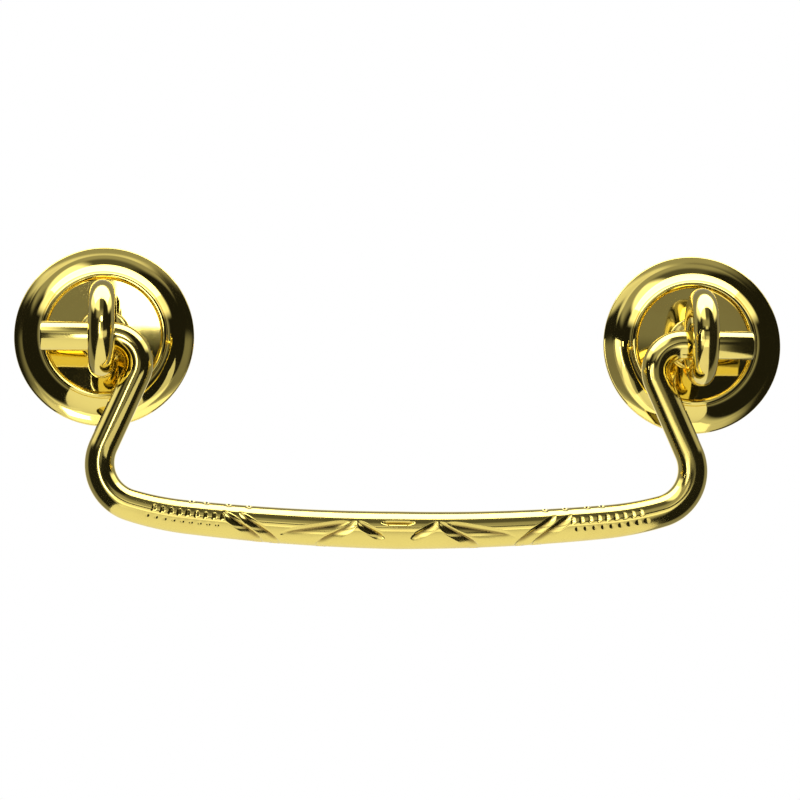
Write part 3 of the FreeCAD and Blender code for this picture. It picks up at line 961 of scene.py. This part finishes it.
# %% Lay the floor
FLOOR_LEVEL = -280.0
FLOOR_MIDDLE = (-50.0, -500.0)
FLOOR_WIDTH = 400.0
FLOOR_LENGTH = 2200.0
FLOOR_COLOUR = (0.76, 0.76, 0.75, 1)
FLOOR_GLOW = 0.8

work_on(None)
floor_place = [length * MM for length in (*FLOOR_MIDDLE, FLOOR_LEVEL)]
bpy.ops.mesh.primitive_plane_add(size=1, location=floor_place)
floor = bpy.context.object
floor.name = "floor"
floor.scale = (FLOOR_WIDTH * MM, FLOOR_LENGTH * MM, 1)
floor_paper = bpy.data.materials.new("floor_paper")
wire = blank_tree(floor_paper)
paper = wire.node("ShaderNodeBsdfDiffuse", None, {"Color": FLOOR_COLOUR})
white = wire.node("ShaderNodeEmission", None, {"Strength": 1.0})
seen = wire.node("ShaderNodeLightPath", output="Is Camera Ray") * FLOOR_GLOW
shown = wire.node("ShaderNodeMixShader", None, {0: seen, 1: paper, 2: white})
wire.node("ShaderNodeOutputMaterial", None, {"Surface": shown})
floor.data.materials.append(floor_paper)
print("floor at", FLOOR_LEVEL, "mm")

# %% Hang the lights
LAMPS = {
    "overhead": {
        "place": (-40.0, 0.0, 620.0),
        "aim": (-40.0, 0.0, 0.0),
        "size": (1300.0, 520.0),
        "level": 2.6,
    },
    "pin_card": {
        "place": (-58.0, -95.0, -8.0),
        "aim": (-54.0, 0.0, 0.0),
        "size": (11.0, 36.0),
        "level": 5.0,
    },
    "dish_card": {
        "place": (-41.0, -47.0, 9.5),
        "aim": (-40.0, 0.0, 4.0),
        "size": (8.0, 7.0),
        "level": 6.0,
    },
    "side_card": {
        "place": (-35.0, -110.0, -25.0),
        "aim": (44.0, 0.0, -10.0),
        "size": (90.0, 90.0),
        "level": 0.75,
        "spread": 64.0,
    },
    "stroke_card": {
        "place": (-21.0, -73.0, -16.0),
        "aim": (15.0, -16.0, -32.0),
        "size": (46.0, 60.0),
        "level": 3.0,
        "spread": 42.0,
    },
    "bar_card": {
        "place": (0.0, -95.0, -31.0),
        "aim": (0.0, 0.0, -31.0),
        "size": (130.0, 28.0),
        "level": 0.7,
    },
}


def soft_box(name, place, aim, size, level, spread=180.0):
    """A rectangular lamp that faces the place it is aimed at. Its level is how bright it looks."""
    work_on(None)
    bpy.ops.object.light_add(type="AREA", location=Vector(place) * MM)
    lamp = bpy.context.object
    lamp.name = name
    lamp.rotation_mode = "QUATERNION"
    lamp.rotation_quaternion = (Vector(aim) - Vector(place)).to_track_quat("-Z", "Y")
    lamp.data.shape = "RECTANGLE"
    lamp.data.size = size[0] * MM
    lamp.data.size_y = size[1] * MM
    half = math.radians(spread) / 2
    lamp.data.spread = 2 * half
    beam = 1 - half / math.tan(half)
    lamp.data.energy = level * math.pi * lamp.data.size * lamp.data.size_y * beam
    lamp.visible_camera = False


for name, lamp in LAMPS.items():
    soft_box(name, **lamp)
print("lights", list(LAMPS))

# %% Paint the room that the metal sees
BEHIND_EDGE = (0.8, 0.92)
BACK_WALL_EDGE = (0.0, 0.3)
BACK_WALL_LEVEL = 0.25
TENT_FRONT = (-0.4, -0.2)
TENT_BACK = (0.3, 0.5)
TENT_FOOT = (0.36, 0.52)
TENT_LEVEL = 1.3
AHEAD_EDGE = (-0.35, -0.15)
UPPER_LEFT = (-0.75, -0.45)
UPPER_RIGHT = (0.2, 0.36)
UPPER_FOOT = (0.26, 0.36)
UPPER_FADE = (0.5, 0.7)
UPPER_LEVEL = 0.34
UPPER_LOSS = 0.26
SKY_RIGHT = (-0.3, -0.14)
SKY_FOOT = (0.53, 0.63)
SKY_LEVEL = 1.4
WINDOW_RIGHT = (0.03, 0.14)
WINDOW_FOOT = (0.2, 0.25)
WINDOW_HEAD = (0.3, 0.36)
WINDOW_LEVEL = 0.8
LOW_LEFT = (-0.32, -0.2)
LOW_RIGHT = (0.22, 0.34)
HORIZON_HEAD = (0.1, 0.14)
HORIZON_LEVEL = 0.2
GROUND_HEAD = (-0.1, -0.03)
GROUND_LEVEL = 0.4
DARKEST = 0.012
SOFT_LEVEL = 0.7

world = bpy.data.worlds.new("studio")
bpy.context.scene.world = world
wire = blank_tree(world)
direction = wire.node("ShaderNodeTexCoord", output="Generated")
across = wire.node("ShaderNodeSeparateXYZ", None, {"Vector": direction}, "X")
depth = across.other("Y")
up = across.other("Z")
path = wire.node("ShaderNodeLightPath", output="Is Camera Ray")
glossy = path.other("Is Glossy Ray")
behind = depth.smooth(*BEHIND_EDGE)
back_wall = depth.smooth(*BACK_WALL_EDGE) * BACK_WALL_LEVEL
overhead = depth.smooth(*TENT_FRONT) * (1 - depth.smooth(*TENT_BACK))
tent = overhead * up.smooth(*TENT_FOOT) * TENT_LEVEL
upper_sides = (1 - across.smooth(*UPPER_RIGHT)) * across.smooth(*UPPER_LEFT)
left_sky = up.smooth(*SKY_FOOT) * (1 - across.smooth(*SKY_RIGHT)) * SKY_LEVEL
upper_fall = UPPER_LEVEL - up.smooth(*UPPER_FADE) * UPPER_LOSS
upper_front = up.smooth(*UPPER_FOOT) * upper_fall * upper_sides
window_height = up.smooth(*WINDOW_FOOT) * (1 - up.smooth(*WINDOW_HEAD))
window = window_height * (1 - across.smooth(*WINDOW_RIGHT)) * WINDOW_LEVEL
horizon = (1 - up.smooth(*HORIZON_HEAD)) * HORIZON_LEVEL
low_front = horizon + (1 - up.smooth(*GROUND_HEAD)) * GROUND_LEVEL
low_sides = (1 - across.smooth(*LOW_RIGHT)) * across.smooth(*LOW_LEFT)
ahead = 1 - depth.smooth(*AHEAD_EDGE)
room = DARKEST + tent + back_wall + ahead * (upper_front + left_sky + (window + low_front) * low_sides)
reflected = room + (1 - room) * behind
level = path + (1 - path) * (glossy * reflected + (1 - glossy) * SOFT_LEVEL)
sky = wire.node("ShaderNodeBackground", None, {"Color": (1, 1, 1, 1), "Strength": level})
wire.node("ShaderNodeOutputWorld", None, {"Surface": sky})
bpy.context.scene.view_settings.view_transform = "Standard"
print("background is white to the camera")
